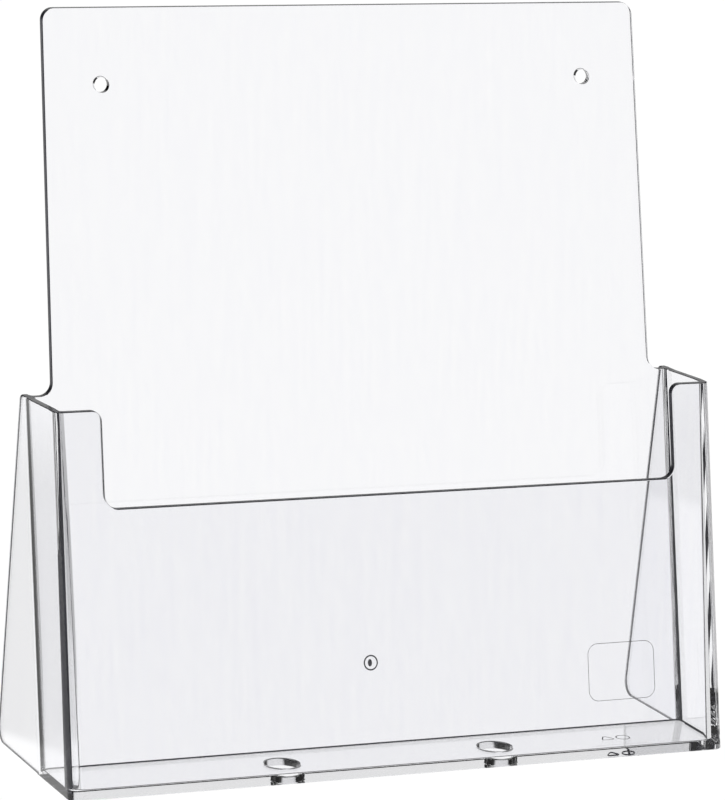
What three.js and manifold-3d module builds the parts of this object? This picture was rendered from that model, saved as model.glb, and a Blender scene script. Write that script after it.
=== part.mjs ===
// A4 magazine rack for a counter or a wall, moulded in clear plastic.
// A leaning pocket stands on its floor and on two feet that reach back behind it.
// +X is to the right seen from the front, +Y to the back and +Z up, in millimetres.
// The origin is on the table, under the middle of the rack.

import * as THREE from 'three';
import { mergeVertices } from 'three/addons/utils/BufferGeometryUtils.js';
import Module from 'manifold-3d';

const wasm = await Module();
wasm.setup();

// Driving dimensions of the whole rack
const rackWidth = 230;
const backHeight = 239.5;
const pocketDepth = 30.2;
const leanDegrees = 11.7;
const wall = 2.5;

// Front panel and its cut-out, heights above the table; an ear is left at each side of the cut-out
const frontHeight = 119.4;
const cutoutBottom = 88.9;
const earWidth = 15;
const cutoutRadius = 4.5;
const earRadius = 3.4;

// Back panel, its shoulders and the two screw holes, set in from its top corners and down from its top
const shoulderHeight = 118.6;
const shoulderWidth = 8.9;
const backTaper = 1.5;
const shoulderRadius = 4.2;
const backCornerRadius = 4.2;
const screwHoleDiameter = 5;
const screwHoleInset = 19.3;
const screwHoleDrop = 24.3;

// Moulded corners of the pocket, seen from above
const outerCornerRadius = 2.8;
const innerCornerRadius = 1.6;

// Floor of the pocket and its two round holes
const floorThickness = 2.5;
const floorHoleDiameter = 11.5;
const floorHoleSpacing = 75.4;

// Feet behind the back panel, with their depths behind it at the table and at the shoulders
const footDepth = 42.2;
const footTopDepth = 4.1;
const footCornerRadius = 5.5;
const footTopRadius = 2.4;
const footToeIn = 0.3;

// Gap between one wall of the moulding and the next, and how finely round edges are cut
const partingGap = 0.3;
const cornerSteps = 8;
const holeSteps = 48;

// The walls lean back, so every level section of the pocket moves back as it rises
const lean = THREE.MathUtils.degToRad(leanDegrees);
const leanSlope = Math.tan(lean);
const levelWall = wall / Math.cos(lean);
const halfWidth = rackWidth / 2;
const innerHalfWidth = halfWidth - wall;
const backFace = pocketDepth - levelWall;
const frontReturn = levelWall + innerCornerRadius;
const backReturn = backFace - innerCornerRadius;
const shoulderHalfWidth = halfWidth - shoulderWidth;
const topHalfWidth = shoulderHalfWidth - backTaper;
const footReach = pocketDepth + footDepth;

const QUARTER = Math.PI / 2;

// Leans a solid back: each point moves back in proportion to its height
function leanBack(geometry) {
  return geometry.applyMatrix4(new THREE.Matrix4().makeShear(0, 0, 0, 0, 0, leanSlope));
}

// Solid of a level section (x, y), from one height to another, leaning back
function fromPlan(section, fromHeight, toHeight) {
  const options = { depth: toHeight - fromHeight, bevelEnabled: false, curveSegments: cornerSteps };
  const geometry = new THREE.ExtrudeGeometry(section, options);
  return leanBack(geometry.translate(0, 0, fromHeight));
}

// Solid of a front view (x, z), from one depth to another, leaning back
function fromFront(outline, fromDepth, toDepth, steps = cornerSteps) {
  const options = { depth: toDepth - fromDepth, bevelEnabled: false, curveSegments: steps };
  const geometry = new THREE.ExtrudeGeometry(outline, options);
  geometry.rotateX(QUARTER);
  return leanBack(geometry.translate(0, toDepth, 0));
}

// Side plate of a side view (y, z), which already shows the lean; its outer face is at the rack's side
function sidePlate(outline, side) {
  const options = { depth: wall, bevelEnabled: false, curveSegments: cornerSteps };
  const geometry = new THREE.ExtrudeGeometry(outline, options);
  const along = new THREE.Vector3(0, 1, 0);
  const up = new THREE.Vector3(0, 0, 1);
  const across = new THREE.Vector3(1, 0, 0);
  geometry.applyMatrix4(new THREE.Matrix4().makeBasis(along, up, across));
  return geometry.translate(side > 0 ? innerHalfWidth : -halfWidth, 0, 0);
}

function toSolid(geometry) {
  const bare = geometry.clone();
  bare.deleteAttribute('normal');
  bare.deleteAttribute('uv');
  const merged = mergeVertices(bare, 1e-4);
  return new wasm.Manifold(new wasm.Mesh({
    numProp: 3,
    vertProperties: merged.getAttribute('position').array,
    triVerts: new Uint32Array(merged.getIndex().array),
  }));
}

function toGeometry(solid) {
  const mesh = solid.getMesh();
  const geometry = new THREE.BufferGeometry();
  geometry.setAttribute('position', new THREE.BufferAttribute(mesh.vertProperties, 3));
  geometry.setIndex(new THREE.BufferAttribute(mesh.triVerts, 1));
  geometry.computeVertexNormals();
  return geometry;
}

// Outline through corners given as [x, y, radius]; each corner is rounded by its own radius
function roundedOutline(corners) {
  const outline = new THREE.Shape();
  corners.forEach(([x, y, radius], place) => {
    const here = new THREE.Vector2(x, y);
    const before = new THREE.Vector2(...corners.at(place - 1));
    const after = new THREE.Vector2(...corners[(place + 1) % corners.length]);
    const inward = before.sub(here).normalize();
    const outward = after.sub(here).normalize();
    const halfAngle = Math.acos(THREE.MathUtils.clamp(inward.dot(outward), -1, 1)) / 2;
    const run = radius / Math.tan(halfAngle);
    const start = inward.clone().multiplyScalar(run).add(here);
    const begin = place === 0 ? 'moveTo' : 'lineTo';
    outline[begin](start.x, start.y);
    if (radius > 0) {
      const toCentre = inward.clone().add(outward).setLength(radius / Math.sin(halfAngle));
      const centre = here.clone().add(toCentre);
      const end = outward.clone().multiplyScalar(run).add(here);
      const startAngle = start.sub(centre).angle();
      const endAngle = end.sub(centre).angle();
      const clockwise = inward.cross(outward) > 0;
      outline.absarc(centre.x, centre.y, radius, startAngle, endAngle, clockwise);
    }
  });
  outline.closePath();
  return outline;
}

// Mirrors a run of corners from the right half onto the left half and joins the two
function bothHalves(rightCorners) {
  const leftCorners = rightCorners.map(([x, y, radius]) => [-x, y, radius]).reverse();
  return [...rightCorners, ...leftCorners];
}

// Front panel: a plate with rounded corners that turn back into the side walls
function frontPanel() {
  const section = roundedOutline(bothHalves([
    [halfWidth, 0, outerCornerRadius],
    [halfWidth, frontReturn, 0],
    [innerHalfWidth, frontReturn, 0],
    [innerHalfWidth, levelWall, innerCornerRadius],
  ]));
  const above = frontHeight + wall;
  const halfCutout = halfWidth - earWidth;
  const cutout = roundedOutline(bothHalves([
    [halfCutout, cutoutBottom, cutoutRadius],
    [halfCutout, frontHeight, earRadius],
    [halfCutout + 2 * earRadius, frontHeight, 0],
    [halfCutout + 2 * earRadius, above, 0],
  ]));
  const plate = toSolid(fromPlan(section, 0, frontHeight));
  const opening = toSolid(fromFront(cutout, -wall, frontReturn + wall));
  return toGeometry(plate.subtract(opening));
}

// Back panel: a tall plate with shoulders over the pocket and corners that turn forward below them
function backPanel() {
  const outline = roundedOutline(bothHalves([
    [halfWidth, 0, 0],
    [halfWidth, shoulderHeight, 0],
    [shoulderHalfWidth, shoulderHeight, shoulderRadius],
    [topHalfWidth, backHeight, backCornerRadius],
  ]));
  const screwHeight = backHeight - screwHoleDrop;
  const screwRadius = screwHoleDiameter / 2;
  for (const side of [-1, 1]) {
    const hole = new THREE.Path();
    const holeX = side * (topHalfWidth - screwHoleInset);
    hole.absellipse(holeX, screwHeight, screwRadius, screwRadius * Math.cos(lean), 0, 4 * QUARTER);
    outline.holes.push(hole);
  }
  const returns = [-1, 1].map((side) => toSolid(fromPlan(backCorner(side), 0, shoulderHeight)));
  const plate = toSolid(fromFront(outline, backFace, pocketDepth, holeSteps / 4));
  return toGeometry(returns.reduce((whole, corner) => whole.add(corner), plate));
}

// Level section of one corner where the back panel turns forward; it laps into the panel
function backCorner(side) {
  const lap = levelWall / 2;
  const corner = new THREE.Shape();
  corner.moveTo(side * innerHalfWidth, backReturn);
  corner.lineTo(side * halfWidth, backReturn);
  corner.lineTo(side * halfWidth, backFace + lap);
  corner.lineTo(side * (innerHalfWidth - innerCornerRadius), backFace + lap);
  corner.lineTo(side * (innerHalfWidth - innerCornerRadius), backFace);
  const startAngle = QUARTER;
  const endAngle = side > 0 ? 0 : 2 * QUARTER;
  corner.absarc(
    side * (innerHalfWidth - innerCornerRadius), backReturn,
    innerCornerRadius, startAngle, endAngle, side > 0,
  );
  return corner;
}

// Floor of the pocket: a level plate that fits inside the four walls, with two round holes
function floorPanel() {
  const edgeX = innerHalfWidth - partingGap;
  const front = levelWall + partingGap;
  const back = backFace - partingGap;
  const cornerRadius = innerCornerRadius - partingGap;
  const section = roundedOutline(bothHalves([
    [edgeX, front, cornerRadius],
    [edgeX, back, cornerRadius],
  ]));
  for (const side of [-1, 1]) {
    const hole = new THREE.Path();
    hole.absarc(side * floorHoleSpacing / 2, (front + back) / 2, floorHoleDiameter / 2, 0, 4 * QUARTER);
    section.holes.push(hole);
  }
  const options = { depth: floorThickness, bevelEnabled: false, curveSegments: holeSteps / 4 };
  return leanBack(new THREE.ExtrudeGeometry(section, options));
}

// Side wall: the flat plate between the corners of the front and back panels
function sideWall(side) {
  const front = frontReturn + partingGap;
  const back = backReturn - partingGap;
  const outline = roundedOutline([
    [front, 0, 0],
    [back, 0, 0],
    [back + shoulderHeight * leanSlope, shoulderHeight, 0],
    [front + frontHeight * leanSlope, frontHeight, 0],
  ]);
  return sidePlate(outline, side);
}

// Rear foot: a tall triangular plate behind the back panel, toed in a little towards its rear edge
function rearFoot(side) {
  const front = pocketDepth + partingGap;
  const topSetback = shoulderHeight * leanSlope;
  const outline = roundedOutline([
    [front, 0, 0],
    [footReach, 0, footCornerRadius],
    [pocketDepth + topSetback + footTopDepth, shoulderHeight, footTopRadius],
    [front + topSetback, shoulderHeight, 0],
  ]);
  const plate = sidePlate(outline, side);
  const toeIn = -side * footToeIn / footDepth;
  plate.translate(0, -pocketDepth, 0);
  plate.applyMatrix4(new THREE.Matrix4().makeShear(0, 0, toeIn, 0, -toeIn * leanSlope, 0));
  return plate.translate(0, pocketDepth, 0);
}

// Clear styrene; each wall has its own material of the same stuff
function clearPlastic() {
  const finish = { color: 0xe9eef3, roughness: 0.05, metalness: 0, transparent: true, opacity: 0.35 };
  return new THREE.MeshStandardMaterial(finish);
}

const rack = new THREE.Group();
const walls = {
  back_panel: backPanel(),
  front_panel: frontPanel(),
  floor_panel: floorPanel(),
  left_side_wall: sideWall(-1),
  right_side_wall: sideWall(1),
  left_rear_foot: rearFoot(-1),
  right_rear_foot: rearFoot(1),
};
for (const [name, geometry] of Object.entries(walls)) {
  const mesh = new THREE.Mesh(geometry, clearPlastic());
  mesh.name = name;
  rack.add(mesh);
}
const extent = new THREE.Box3().setFromObject(rack);
rack.position.y = -(extent.min.y + extent.max.y) / 2;

export default rack;
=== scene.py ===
"""A clear moulded A4 magazine rack: a leaning pocket on rear feet, with a tall back panel behind it."""

import math

import bmesh
import bpy
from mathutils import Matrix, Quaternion, Vector


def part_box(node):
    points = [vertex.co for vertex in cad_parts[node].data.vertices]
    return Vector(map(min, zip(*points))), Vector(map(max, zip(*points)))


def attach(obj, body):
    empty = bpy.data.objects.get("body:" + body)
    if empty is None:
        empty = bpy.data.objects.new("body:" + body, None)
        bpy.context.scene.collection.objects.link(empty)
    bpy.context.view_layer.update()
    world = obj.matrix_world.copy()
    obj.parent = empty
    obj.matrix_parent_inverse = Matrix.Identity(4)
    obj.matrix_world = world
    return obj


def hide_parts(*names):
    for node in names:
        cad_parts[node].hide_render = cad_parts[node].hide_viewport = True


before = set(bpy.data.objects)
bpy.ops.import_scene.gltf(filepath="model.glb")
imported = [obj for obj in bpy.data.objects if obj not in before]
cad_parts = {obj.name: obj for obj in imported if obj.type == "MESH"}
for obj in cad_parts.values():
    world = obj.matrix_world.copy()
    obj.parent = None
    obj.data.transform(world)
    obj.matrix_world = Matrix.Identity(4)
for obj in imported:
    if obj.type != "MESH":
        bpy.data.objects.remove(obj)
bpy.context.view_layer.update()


# ---- Camera ----
# A long lens a metre and a half away, to the left of the rack and a little above it, tipped by a
# couple of degrees, so that the rack fills an upright picture.
aim = Vector((-0.0075, -0.0084, 0.1174))
camera_azimuth = math.radians(-23.62)
camera_elevation = math.radians(11.92)
camera_roll = math.radians(2.48)
camera_distance = 1.488
focal_length = 228.9
sensor_width = 36

camera = bpy.data.objects.new("camera", bpy.data.cameras.new("camera"))
bpy.context.scene.collection.objects.link(camera)
camera.data.sensor_fit = "HORIZONTAL"
camera.data.sensor_width = sensor_width
camera.data.lens = focal_length
level = math.cos(camera_elevation)
backward = Vector((
    math.sin(camera_azimuth) * level,
    -math.cos(camera_azimuth) * level,
    math.sin(camera_elevation),
))
camera.rotation_mode = "QUATERNION"
camera.rotation_quaternion = backward.to_track_quat("Z", "Y") @ Quaternion((0, 0, 1), camera_roll)
camera.location = aim + backward * camera_distance
bpy.context.scene.camera = camera


# ---- Floor of the pocket ----
# A level plate at the foot of the pocket, moulded in one with the walls in clear styrene. It runs
# up into them in a small fillet, two round holes go through it, and a plain ring and triangle are
# moulded into its top.
lean = math.radians(11.7)
slope = math.tan(lean)
wall = 0.0025
level_wall = wall / math.cos(lean)
front_corner_low = 0.0040
front_corner_high = 0.0010
back_corner_low = 0.0022
back_corner_high = 0.0008
floor_thickness = wall
floor_fillet = 0.0004
floor_hole_radius = 0.00575
floor_hole_spacing = 0.0754
edge_round = 0.00035
past_corner = 0.0002
arc_steps = 12
hole_steps = 64

front_low, front_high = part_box("front_panel")
back_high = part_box("back_panel")[1]
half_width = back_high.x
inner_half = half_width - wall
front_edge = front_low.y
pocket_depth = back_high.y - back_high.z * slope - front_edge
back_face = pocket_depth - level_wall
front_seam = level_wall + front_corner_low + past_corner
back_seam = back_face - back_corner_low - past_corner
fillet_top = floor_thickness + floor_fillet
# The third material is painted shade: dark, nearly opaque styrene on edges and grooves, in place of the
# darkness clear plastic's edges only seem to have.
SKIN, SEAM, PAINTED_SHADE = 0, 1, 2


def rounded(corners, steps=arc_steps):
    """Outline through the corners (x, y, radius), each rounded by its own radius."""
    points = []
    for place, (x, y, radius) in enumerate(corners):
        here = Vector((x, y))
        if not radius:
            points.append(here)
            continue
        before = (Vector(corners[place - 1][:2]) - here).normalized()
        after = (Vector(corners[(place + 1) % len(corners)][:2]) - here).normalized()
        half_angle = before.angle(after) / 2
        centre = here + (before + after).normalized() * (radius / math.sin(half_angle))
        first = here + before * (radius / math.tan(half_angle)) - centre
        last = here + after * (radius / math.tan(half_angle)) - centre
        start = math.atan2(first.y, first.x)
        turn = math.remainder(math.atan2(last.y, last.x) - start, math.tau)
        for step in range(steps + 1):
            angle = start + turn * step / steps
            points.append(centre + Vector((math.cos(angle), math.sin(angle))) * radius)
    return [p for k, p in enumerate(points) if (p - points[k - 1]).length > 1e-7]


def mirrored(right_half):
    """The right half of an outline and the same corners on the left."""
    return right_half + [(-x, y, radius) for x, y, radius in reversed(right_half)]


def loft(rings, seam_strips=()):
    """Closed solid through rings of the same number of points."""
    solid = bmesh.new()
    loops = [[solid.verts.new(point) for point in ring] for ring in rings]
    for strip, (lower, upper) in enumerate(zip(loops, loops[1:])):
        for k in range(len(lower)):
            face = solid.faces.new((lower[k - 1], lower[k], upper[k], upper[k - 1]))
            face.material_index = SEAM if strip in seam_strips else SKIN
    solid.faces.new(loops[0])
    solid.faces.new(loops[-1])
    bmesh.ops.recalc_face_normals(solid, faces=solid.faces)
    return solid


def upright(plan, bottom, top):
    """Solid of a plan section, from one height to another."""
    return loft([[(x, y, z) for x, y in plan] for z in (bottom, top)])


def crosswise(outline, near, far):
    """Solid of a front view (x, z), from one depth to another."""
    return loft([[(x, y, z) for x, z in outline] for y in (near, far)])


def groove(outlines, place, surface=SKIN):
    """Tool for a narrow groove along an outline, from its outer line to its bottom to its inner line."""
    solid = bmesh.new()
    loops = [
        [solid.verts.new(place(point, strip)) for point in outline]
        for strip, outline in enumerate(outlines)
    ]
    for strip, loop in enumerate(loops):
        after = loops[(strip + 1) % len(loops)]
        for k in range(len(loop)):
            face = solid.faces.new((loop[k - 1], loop[k], after[k], after[k - 1]))
            face.material_index = surface
    bmesh.ops.recalc_face_normals(solid, faces=solid.faces)
    return solid


def cut(solid, *tools):
    """The solid with the tools taken out of it."""
    made = []
    for shape in (solid, *tools):
        mesh = bpy.data.meshes.new("cut")
        shape.to_mesh(mesh)
        shape.free()
        made.append(bpy.data.objects.new("cut", mesh))
        bpy.context.scene.collection.objects.link(made[-1])
    for tool in made[1:]:
        taking = made[0].modifiers.new("cut", "BOOLEAN")
        taking.operation = "DIFFERENCE"
        taking.solver = "EXACT"
        taking.object = tool
    shown = made[0].evaluated_get(bpy.context.evaluated_depsgraph_get())
    result = bmesh.new()
    result.from_mesh(shown.to_mesh())
    for thing in made:
        bpy.data.meshes.remove(thing.data)
    return result


def mark_seams(solid, seam_depths):
    """Marks the faces where one wall of the moulding runs on into the next."""
    geometry = [*solid.verts, *solid.edges, *solid.faces]
    bmesh.ops.bisect_plane(
        solid, geom=geometry, dist=1e-7, plane_co=(0, 0, fillet_top), plane_no=(0, 0, 1),
    )
    near = 1e-6
    for face in solid.faces:
        points = [vert.co for vert in face.verts]
        for depth in seam_depths:
            if all(abs(p.y - depth) < near for p in points):
                face.material_index = SEAM
        by_floor = all(
            abs(p.x) < inner_half + near and level_wall - near < p.y < back_face + near
            and p.z < fillet_top + near for p in points
        )
        if by_floor:
            face.material_index = SEAM


def round_edges(solid, radius=edge_round):
    """Rounds the outer edges of the moulding, and leaves the seams as they are."""
    bmesh.ops.dissolve_degenerate(solid, dist=1e-7, edges=solid.edges)
    sharp = [
        edge for edge in solid.edges
        if len(edge.link_faces) == 2
        and all(face.material_index == SKIN for face in edge.link_faces)
        and edge.calc_face_angle_signed(0) > math.radians(50)
    ]
    bmesh.ops.bevel(
        solid, geom=sharp, offset=radius, offset_type="OFFSET", segments=4, profile=0.5,
        affect="EDGES", clamp_overlap=False, material=SKIN,
    )


def paint_shade_on(solid, on_edge):
    """Marks thin edge faces with painted shade: a dark styrene in place of the darkness that clear
    plastic's edges seem to have.
    """
    solid.normal_update()
    for face in solid.faces:
        if face.material_index == SKIN and on_edge(face.calc_center_median(), face.normal):
            face.material_index = PAINTED_SHADE


def flared_hole(centre, axis, radius, near, far, rim=edge_round, squeeze=1):
    """Tool for a round hole with rounded rims, along y or z."""
    inner = [rim * (1 - math.cos(k * math.pi / 8)) for k in range(5)]
    wide = [radius + rim * (1 - math.sin(k * math.pi / 8)) for k in range(5)]
    stations = [(near - wall, wide[0])] + [(near + i, w) for i, w in zip(inner, wide)]
    stations += [(far - i, w) for i, w in zip(reversed(inner), reversed(wide))]
    stations += [(far + wall, wide[0])]
    rings = []
    for along, size in stations:
        ring = []
        for k in range(hole_steps):
            angle = math.tau * k / hole_steps
            u, v = size * math.cos(angle), size * math.sin(angle) * squeeze
            ring.append(
                (centre[0] + u, along, centre[1] + v) if axis == "y"
                else (centre[0] + u, centre[1] + v, along)
            )
        rings.append(ring)
    return loft(rings)


def clear_styrene(name, dark, light, least_rough, most_rough, clear=1, gloss=0.5):
    """Water-clear polystyrene with the faint flow lines and polishing marks of the mould; given dark
    colours, a painted shade for its edges.
    """
    material = bpy.data.materials.new(name)
    material.use_nodes = True
    nodes, links = material.node_tree.nodes, material.node_tree.links
    shader = nodes["Principled BSDF"]
    shader.inputs["Transmission Weight"].default_value = clear
    shader.inputs["IOR"].default_value = 1.59
    shader.inputs["Specular IOR Level"].default_value = gloss
    place = nodes.new("ShaderNodeTexCoord")
    stretch = nodes.new("ShaderNodeMapping")
    stretch.inputs["Scale"].default_value = (420, 420, 9)
    links.new(place.outputs["Object"], stretch.inputs["Vector"])
    flow = nodes.new("ShaderNodeTexNoise")
    flow.inputs["Scale"].default_value = 1
    flow.inputs["Detail"].default_value = 4
    links.new(stretch.outputs["Vector"], flow.inputs["Vector"])
    tint = nodes.new("ShaderNodeValToRGB")
    tint.color_ramp.elements[0].position = 0.25
    tint.color_ramp.elements[0].color = (*dark, 1)
    tint.color_ramp.elements[1].position = 0.75
    tint.color_ramp.elements[1].color = (*light, 1)
    links.new(flow.outputs["Fac"], tint.inputs["Fac"])
    links.new(tint.outputs["Color"], shader.inputs["Base Color"])
    polish = nodes.new("ShaderNodeMapRange")
    polish.inputs["From Min"].default_value = 0.55
    polish.inputs["From Max"].default_value = 0.85
    polish.inputs["To Min"].default_value = least_rough
    polish.inputs["To Max"].default_value = most_rough
    links.new(flow.outputs["Fac"], polish.inputs["Value"])
    links.new(polish.outputs["Result"], shader.inputs["Roughness"])
    ripple = nodes.new("ShaderNodeBump")
    ripple.inputs["Strength"].default_value = 0.02
    ripple.inputs["Distance"].default_value = 0.00005
    links.new(flow.outputs["Fac"], ripple.inputs["Height"])
    links.new(ripple.outputs["Normal"], shader.inputs["Normal"])
    return material


def run_on():
    """The plastic running on through a seam, where there is no surface to see."""
    material = bpy.data.materials.new("run_on")
    material.use_nodes = True
    nodes, links = material.node_tree.nodes, material.node_tree.links
    nodes.remove(nodes["Principled BSDF"])
    open_way = nodes.new("ShaderNodeBsdfTransparent")
    links.new(open_way.outputs["BSDF"], nodes["Material Output"].inputs["Surface"])
    return material


styrene = clear_styrene("clear_styrene", (0.960, 0.961, 0.984), (0.990, 0.991, 1), 0, 0.03)
# Painted shade: the same styrene made dark and nearly opaque, for faces where clear plastic only looks
# dark.
styrene_painted_shade = clear_styrene(
    "styrene_painted_shade", (0.03, 0.03, 0.04), (0.12, 0.12, 0.15), 0.25, 0.45, clear=0.05, gloss=0.1,
)
seam = run_on()


def moulded(name, solid, node):
    """Leans the finished solid back, polishes its normals and puts it in place of its CAD wall."""
    for vert in solid.verts:
        vert.co.y += front_edge + slope * vert.co.z
    bmesh.ops.remove_doubles(solid, verts=solid.verts, dist=2e-6)
    bmesh.ops.dissolve_degenerate(solid, dist=1e-6, edges=solid.edges)
    for face in solid.faces:
        face.smooth = True
    bmesh.ops.recalc_face_normals(solid, faces=solid.faces)
    mesh = bpy.data.meshes.new(name)
    solid.to_mesh(mesh)
    solid.free()
    mesh.materials.append(styrene)
    mesh.materials.append(seam)
    mesh.materials.append(styrene_painted_shade)
    mesh.set_sharp_from_angle(angle=math.radians(40))
    piece = bpy.data.objects.new(name, mesh)
    bpy.context.scene.collection.objects.link(piece)
    normals = piece.modifiers.new("flat faces", "WEIGHTED_NORMAL")
    normals.mode = "FACE_AREA"
    normals.weight = 100
    normals.keep_sharp = True
    shown = piece.evaluated_get(bpy.context.evaluated_depsgraph_get())
    finished = bpy.data.meshes.new_from_object(shown)
    finished.name = name
    piece.modifiers.clear()
    piece.data = finished
    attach(piece, "root")
    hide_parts(node)


def pocket_inside(inset):
    """Plan of the pocket's inside, drawn in by an inset."""
    side, near, far = inner_half - inset, level_wall + inset, back_face - inset
    return rounded(mirrored([
        (side, near, front_corner_low - inset),
        (side, far, back_corner_low - inset),
    ]))


floor_rings = [[(x, y, z) for x, y in pocket_inside(0)] for z in (0, fillet_top)]
for step in range(1, 9):
    angle = step * math.pi / 16
    inset = floor_fillet * (1 - math.cos(angle))
    height = fillet_top - floor_fillet * math.sin(angle)
    floor_rings.append([(x, y, height) for x, y in pocket_inside(inset)])
floor_solid = loft(floor_rings, seam_strips=(0,))
# Painted shade on the fillet where the floor runs up into the walls.
paint_shade_on(
    floor_solid,
    lambda centre, normal: centre.z > floor_thickness
    and 0.05 < normal.z < (0.5 if normal.y > 0.3 else 0.98),
)
floor_middle = (level_wall + back_face) / 2
floor_holes = [
    flared_hole(
        (side * floor_hole_spacing / 2, floor_middle), "z", floor_hole_radius, 0, floor_thickness,
    )
    for side in (-1, 1)
]
mark_width = 0.0008
mark_depth = 0.00025
mark_place = (0.081, 0.0135)
ring_radius = 0.0024
triangle_radius = 0.0029


def floor_mark(centre, radius, corners, roundness):
    """Groove of a small plain symbol in the top of the floor."""
    outlines = []
    for inset in (-mark_width / 2, 0, mark_width / 2):
        reach = radius - inset / math.cos(math.pi / corners)
        outlines.append(rounded([
            (
                centre[0] + reach * math.sin(math.tau * k / corners),
                centre[1] + reach * math.cos(math.tau * k / corners),
                roundness - inset,
            )
            for k in range(corners)
        ], 4))
    levels = (floor_thickness + mark_depth, floor_thickness - mark_depth, floor_thickness + mark_depth)
    # The groove's faces are painted with shade, dark where a groove in clear plastic only looks dark.
    return groove(outlines, lambda point, strip: (point.x, point.y, levels[strip]), PAINTED_SHADE)


marks = [
    floor_mark((mark_place[0] - 0.0029, mark_place[1]), triangle_radius, 3, 0.0007),
    floor_mark((mark_place[0] + 0.0029, mark_place[1]), ring_radius, 8, 0.0015),
]
moulded("pocket_floor", cut(floor_solid, *floor_holes, *marks), "floor_panel")


# ---- Front panel ----
# A low leaning plate, with an ear left at each side of the cut-out through which the magazines are
# seen and taken. Its corners turn back into the side walls, round outside and inside.
front_top = front_high.z
outer_corner = 0.0028
ear_width = 0.015
ear_radius = 0.0034
cutout_bottom = 0.0889
cutout_radius = 0.0045

front_rings = []
for height, corner in (
    (0, front_corner_low), (fillet_top, front_corner_low), (front_top, front_corner_high),
):
    front_plan = rounded(mirrored([
        (half_width, 0, outer_corner),
        (half_width, front_seam, 0),
        (inner_half, front_seam, 0),
        (inner_half, level_wall, corner),
    ]))
    front_rings.append([(x, y, height) for x, y in front_plan])
cutout_half = half_width - ear_width
cutout_edge = cutout_half + 2 * ear_radius
cutout_shift = 0.0006
hair = 0.00001  # keeps a tool's side just off the plane it meets
cutout = [(x + cutout_shift, z) for x, z in rounded(mirrored([
    (cutout_half, cutout_bottom, cutout_radius),
    (cutout_half, front_top, ear_radius),
    (cutout_edge, front_top + hair, 0),
    (cutout_edge, front_top + wall, 0),
]))]
front_solid = cut(
    loft(front_rings),
    crosswise(cutout, -wall, front_seam + wall),
)
mark_seams(front_solid, (front_seam,))
round_edges(front_solid)
ear_inside = cutout_half + ear_radius + 2 * cutout_shift
# Painted shade on the top edge, the cut-out's edges and the inside of the front corners.
paint_shade_on(
    front_solid,
    lambda centre, normal: normal.z > 0.5 or (
        abs(normal.y) < 0.8 and abs(centre.x) < ear_inside and centre.z > cutout_bottom - edge_round
    ) or (
        0.03 < normal.y < 0.5 and abs(centre.x) > inner_half - front_corner_low
        and centre.z > fillet_top
    ),
)
moulded("front_plate", front_solid, "front_panel")


# ---- Side walls ----
# Two narrow flat plates between the corners of the front and the back. Their top edges fall a
# little towards the back.
shoulder_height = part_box("left_rear_foot")[1].z

for side, name in ((-1, "left"), (1, "right")):
    side_plan = [
        Vector((side * inner_half, front_seam)),
        Vector((side * half_width, front_seam)),
        Vector((side * half_width, back_seam)),
        Vector((side * inner_half, back_seam)),
    ]
    side_solid = upright(side_plan, 0, front_top)
    for vert in side_solid.verts:
        if vert.co.z > 0 and abs(vert.co.y - back_seam) < 1e-6:
            vert.co.z = shoulder_height
    mark_seams(side_solid, (front_seam, back_seam))
    round_edges(side_solid)
    # Painted shade on the top and bottom edges.
    paint_shade_on(side_solid, lambda centre, normal: normal.z > 0.3 or normal.z < -0.9)
    moulded(f"{name}_side", side_solid, f"{name}_side_wall")


# ---- Back panel ----
# The tall leaning plate that the magazines rest against. It steps in over the pocket at rounded
# shoulders and has two screw holes near the top. Its gate mark is in front, a blank badge behind.
shoulder_width = 0.0089
back_taper = 0.0015
shoulder_radius = 0.0042
top_radius = 0.0042
rear_fillet = 0.001
screw_hole_radius = 0.0025
screw_hole_rim = 0.00012
screw_hole_inset = 0.0193
screw_hole_drop = 0.0243

back_top = back_high.z
rear_seam = pocket_depth + rear_fillet
back_rings = []
for height, corner in (
    (0, back_corner_low), (fillet_top, back_corner_low),
    (shoulder_height, back_corner_high), (back_top, back_corner_high),
):
    back_plan = rounded(mirrored([
        (inner_half, back_face, corner),
        (inner_half, back_seam, 0),
        (half_width, back_seam, 0),
        (half_width, rear_seam, 0),
        (inner_half, rear_seam, 0),
        (inner_half, pocket_depth, rear_fillet),
    ]))
    back_rings.append([(x, y, height) for x, y in back_plan])
shoulder_half = half_width - shoulder_width
top_half = shoulder_half - back_taper
beside = rounded([
    (half_width + wall, shoulder_height, 0),
    (shoulder_half, shoulder_height, shoulder_radius),
    (top_half, back_top, top_radius),
    (top_half - 2 * top_radius, back_top + hair, 0),
    (top_half - 2 * top_radius, back_top + wall, 0),
    (half_width + wall, back_top + wall, 0),
])
trims = [
    crosswise([(side * x, z) for x, z in beside], back_seam - wall, rear_seam + wall)
    for side in (-1, 1)
]
back_solid = cut(loft(back_rings), *trims)
mark_seams(back_solid, (back_seam, rear_seam))
round_edges(back_solid)
# Painted shade on the top edges, the left-facing edges above the shoulders and the inside of the back
# corners.
paint_shade_on(
    back_solid,
    lambda centre, normal: normal.z > 0.7 or (
        normal.x < -0.3 and centre.z > shoulder_height
    ) or (
        -0.6 < normal.y < -0.1 and fillet_top < centre.z < shoulder_height
        and inner_half - back_corner_low < abs(centre.x) < inner_half
    ),
)
screw_height = back_top - screw_hole_drop
screw_holes = [
    flared_hole(
        (side * (top_half - screw_hole_inset), screw_height), "y", screw_hole_radius,
        back_face, pocket_depth, screw_hole_rim, math.cos(lean),
    )
    for side in (-1, 1)
]

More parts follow.
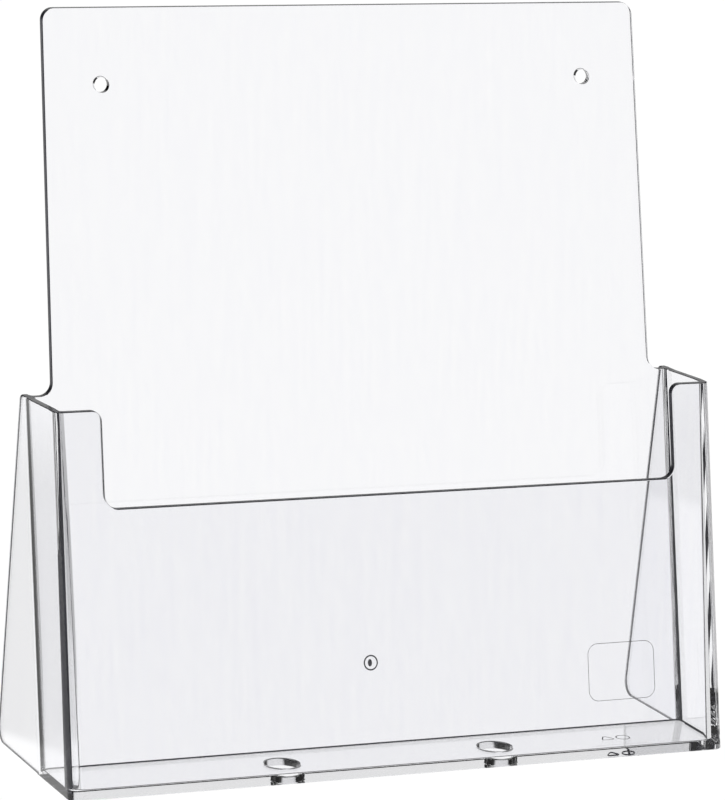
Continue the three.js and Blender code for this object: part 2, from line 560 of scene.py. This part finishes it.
gate_radius = 0.0023
gate_height = 0.0286
gate_line = 0.00035
gate_depth = 0.0004
gate_steps = 32
cup_steps = 16
cup_aside = 0.0003
cup_stretch = 1.6
over_face = 0.0002
gate_lines = []
for inset in (-gate_line, 0, gate_line):
    reach = gate_radius - inset
    gate_lines.append([
        Vector((math.sin(math.tau * k / gate_steps), math.cos(math.tau * k / gate_steps))) * reach
        for k in range(gate_steps)
    ])
gate_levels = (back_face - over_face, back_face + gate_depth, back_face - over_face)
# The gate mark's ring groove is painted with shade.
gate_ring = groove(
    gate_lines, lambda point, strip: (point.x, gate_levels[strip], gate_height + point.y), PAINTED_SHADE,
)
gate_cup = loft([
    [
        (
            size * math.sin(math.tau * k / cup_steps) - cup_aside, depth,
            gate_height + cup_stretch * size * math.cos(math.tau * k / cup_steps),
        )
        for k in range(cup_steps)
    ]
    for size, depth in (
        (0.0009, back_face - over_face), (0.0006, back_face + 0.0002), (0.0001, back_face + 0.0006),
    )
])
# Painted shade over the whole gate cup.
paint_shade_on(gate_cup, lambda centre, normal: True)

badge_middle = (0.0919, 0.0195)
badge_half = (0.01225, 0.0094)
badge_radius = 0.0035
badge_line = 0.0002
badge_depth = 0.00015
badge_lines = []
for inset in (-badge_line, 0, badge_line):
    across, up = badge_half[0] - inset, badge_half[1] - inset
    badge_lines.append(rounded([
        (badge_middle[0] + across, badge_middle[1] + up, badge_radius - inset),
        (badge_middle[0] + across, badge_middle[1] - up, badge_radius - inset),
        (badge_middle[0] - across, badge_middle[1] - up, badge_radius - inset),
        (badge_middle[0] - across, badge_middle[1] + up, badge_radius - inset),
    ]))
badge_levels = (pocket_depth + over_face, pocket_depth - badge_depth, pocket_depth + over_face)
badge = groove(badge_lines, lambda point, strip: (point.x, badge_levels[strip], point.y))
moulded("back_plate", cut(back_solid, *screw_holes, gate_ring, gate_cup, badge), "back_panel")


# ---- Rear feet ----
# The side plates run on behind the back panel as two tall triangular feet. They stand on the table
# and keep the leaning rack from tipping back.
foot_depth = 0.0422
foot_top_depth = 0.0041
foot_radius = 0.0055
foot_top_radius = 0.0024
foot_toe_in = 0.0003
foot_edge_round = 0.00065

foot_reach = pocket_depth + foot_depth
foot_top_reach = pocket_depth + shoulder_height * slope + foot_top_depth
foot_top_start = foot_top_reach - foot_top_radius
beyond_foot = foot_reach + 2 * foot_radius + shoulder_height * slope
behind = rounded([
    (foot_reach - 2 * foot_radius, -wall, 0),
    (foot_reach - 2 * foot_radius, -hair, 0),
    (foot_reach, 0, foot_radius),
    (foot_top_reach, shoulder_height, foot_top_radius),
    (foot_top_start, shoulder_height + hair, 0),
    (foot_top_start, shoulder_height + wall, 0),
    (beyond_foot, shoulder_height + wall, 0),
    (beyond_foot, -wall, 0),
])
for side, name in ((-1, "left"), (1, "right")):
    foot_plan = [
        Vector((side * inner_half, rear_seam)),
        Vector((side * half_width, rear_seam)),
        Vector((side * half_width, foot_reach + foot_radius)),
        Vector((side * inner_half, foot_reach + foot_radius)),
    ]
    behind_tool = loft([
        [(x, y - slope * z, z) for y, z in behind]
        for x in (side * (inner_half - wall), side * (half_width + wall))
    ])
    foot_solid = cut(upright(foot_plan, 0, shoulder_height), behind_tool)
    mark_seams(foot_solid, (rear_seam,))
    round_edges(foot_solid, foot_edge_round)
    # Painted shade on the rounded edges and the top of each foot.
    paint_shade_on(
        foot_solid,
        lambda centre, normal: centre.z > edge_round and (
            0.15 < abs(normal.x) < 0.995 or normal.z > 0.8
        ),
    )
    for vert in foot_solid.verts:
        vert.co.x -= side * foot_toe_in * (vert.co.y - rear_seam) / foot_depth
    moulded(f"{name}_foot", foot_solid, f"{name}_rear_foot")


# ---- Table and light ----
# A pale table that glows by itself rather than being lit, with painted light on it: a painted white
# strip under and behind the rack, painted shade to its left and an even grey glow elsewhere. Soft studio
# light comes from the sky: a bright panel stands behind the rack and a weaker one in front. The rest is
# dark, which darkens clear plastic's edges.
scene = bpy.context.scene
light_bounces = 14
scene.view_settings.view_transform = "Standard"
scene.cycles.max_bounces = light_bounces
scene.cycles.transmission_bounces = light_bounces
scene.cycles.glossy_bounces = light_bounces
scene.cycles.transparent_max_bounces = 32

# Strengths of the table's painted light: the white painted strip of light under and behind the rack,
# painted shade to the left of the rack that fades out far away, and an even grey glow elsewhere.
painted_beam_strength = 1.02
table_left = 0.52
table_far_left = 0.97
table_elsewhere = 0.8
behind_light = 0.82
front_light = 0.38
dark_light = 0.02
beam_heading = math.radians(23.6)
left_heading = math.radians(-27)
front_heading = math.radians(158)
beam_start = (-0.24, -0.1)
left_reach = (0.42, 0.65)
left_sector = (40, 65)
behind_sector = (20, 34)
front_sector = (20, 38)
panel_top = (0.7, 0.85)
table_drop = 0.0002


def calc(tree, operation, *values):
    """Math node; each value is a number or another node's socket."""
    node = tree.nodes.new("ShaderNodeMath")
    node.operation = operation
    for socket, value in zip(node.inputs, values):
        if isinstance(value, bpy.types.NodeSocket):
            tree.links.new(value, socket)
        else:
            socket.default_value = value
    return node.outputs[0]


def ramp(tree, value, start, end, low=0, high=1):
    """Smooth ramp from low at the start to high at the end."""
    node = tree.nodes.new("ShaderNodeMapRange")
    node.interpolation_type = "SMOOTHSTEP"
    for name, setting in (("From Min", start), ("From Max", end), ("To Min", low), ("To Max", high)):
        if isinstance(setting, bpy.types.NodeSocket):
            tree.links.new(setting, node.inputs[name])
        else:
            node.inputs[name].default_value = setting
    tree.links.new(value, node.inputs["Value"])
    return node.outputs[0]


def along(tree, x, y, heading):
    """How far a point reaches in the direction of a heading."""
    return calc(
        tree, "ADD",
        calc(tree, "MULTIPLY", x, math.sin(heading)),
        calc(tree, "MULTIPLY", y, math.cos(heading)),
    )


def distance(tree, x, y):
    """How far a point is from the middle of the rack, seen from above."""
    squares = calc(tree, "ADD", calc(tree, "MULTIPLY", x, x), calc(tree, "MULTIPLY", y, y))
    return calc(tree, "SQRT", squares)


def sector(tree, x, y, heading, core, rim):
    """Full within the core angle of a heading, and nothing from the rim angle on."""
    away = calc(tree, "MAXIMUM", distance(tree, x, y), 0.001)
    share = calc(tree, "DIVIDE", along(tree, x, y, heading), away)
    return ramp(tree, share, math.cos(math.radians(rim)), math.cos(math.radians(core)))


table_mesh = bpy.data.meshes.new("table")
half_table = 8
table_mesh.from_pydata(
    [(-half_table, -half_table, 0), (half_table, -half_table, 0),
     (half_table, half_table, 0), (-half_table, half_table, 0)],
    [], [(0, 1, 2, 3)],
)
table = bpy.data.objects.new("table", table_mesh)
scene.collection.objects.link(table)
table.location.z = -table_drop

# The table glows instead of being lit; its glow is painted light and shade.
painted_table_light = bpy.data.materials.new("table_painted_light")
painted_table_light.use_nodes = True
tree = painted_table_light.node_tree
tree.nodes.remove(tree.nodes["Principled BSDF"])
glow = tree.nodes.new("ShaderNodeEmission")
tree.links.new(glow.outputs["Emission"], tree.nodes["Material Output"].inputs["Surface"])
where = tree.nodes.new("ShaderNodeNewGeometry")
apart = tree.nodes.new("ShaderNodeSeparateXYZ")
tree.links.new(where.outputs["Position"], apart.inputs["Vector"])
x, y = apart.outputs["X"], apart.outputs["Y"]
depth = along(tree, x, y, beam_heading)
beyond = calc(tree, "MAXIMUM", depth, 0)
aside = calc(tree, "ABSOLUTE", along(tree, x, y, beam_heading + math.pi / 2))
beam_edge = calc(tree, "MULTIPLY_ADD", beyond, 0.1, 0.12)
beam_end = calc(tree, "MULTIPLY_ADD", beyond, 0.14, 0.13)
# Painted pool of light: a bright strip on the table running back from the rack.
beam = calc(
    tree, "MULTIPLY",
    ramp(tree, aside, beam_edge, beam_end, 1, 0),
    ramp(tree, depth, *beam_start),
)
# Painted shade on the table to the left of the rack, fading out with distance.
left_share = sector(tree, x, y, left_heading, *left_sector)
left_light = ramp(tree, distance(tree, x, y), *left_reach, table_left, table_far_left)
around = calc(
    tree, "MULTIPLY_ADD",
    left_share, calc(tree, "SUBTRACT", left_light, table_elsewhere), table_elsewhere,
)
rest = calc(tree, "MULTIPLY", calc(tree, "SUBTRACT", 1, beam), around)
tree.links.new(calc(tree, "MULTIPLY_ADD", beam, painted_beam_strength, rest), glow.inputs["Strength"])
table_mesh.materials.append(painted_table_light)

world = bpy.data.worlds.new("studio")
scene.world = world
world.use_nodes = True
tree = world.node_tree
sky = tree.nodes["Background"]
sky.inputs["Color"].default_value = (1, 1, 1, 1)
where = tree.nodes.new("ShaderNodeTexCoord")
apart = tree.nodes.new("ShaderNodeSeparateXYZ")
tree.links.new(where.outputs["Generated"], apart.inputs["Vector"])
x, y, z = apart.outputs
lit_behind = sector(tree, x, y, beam_heading, *behind_sector)
lit_in_front = sector(tree, x, y, front_heading, *front_sector)
panels = calc(
    tree, "ADD",
    calc(tree, "MULTIPLY", lit_behind, behind_light),
    calc(tree, "MULTIPLY", lit_in_front, front_light),
)
below_top = ramp(tree, z, *panel_top, 1, 0)
tree.links.new(calc(tree, "MULTIPLY_ADD", panels, below_top, dark_light), sky.inputs["Strength"])
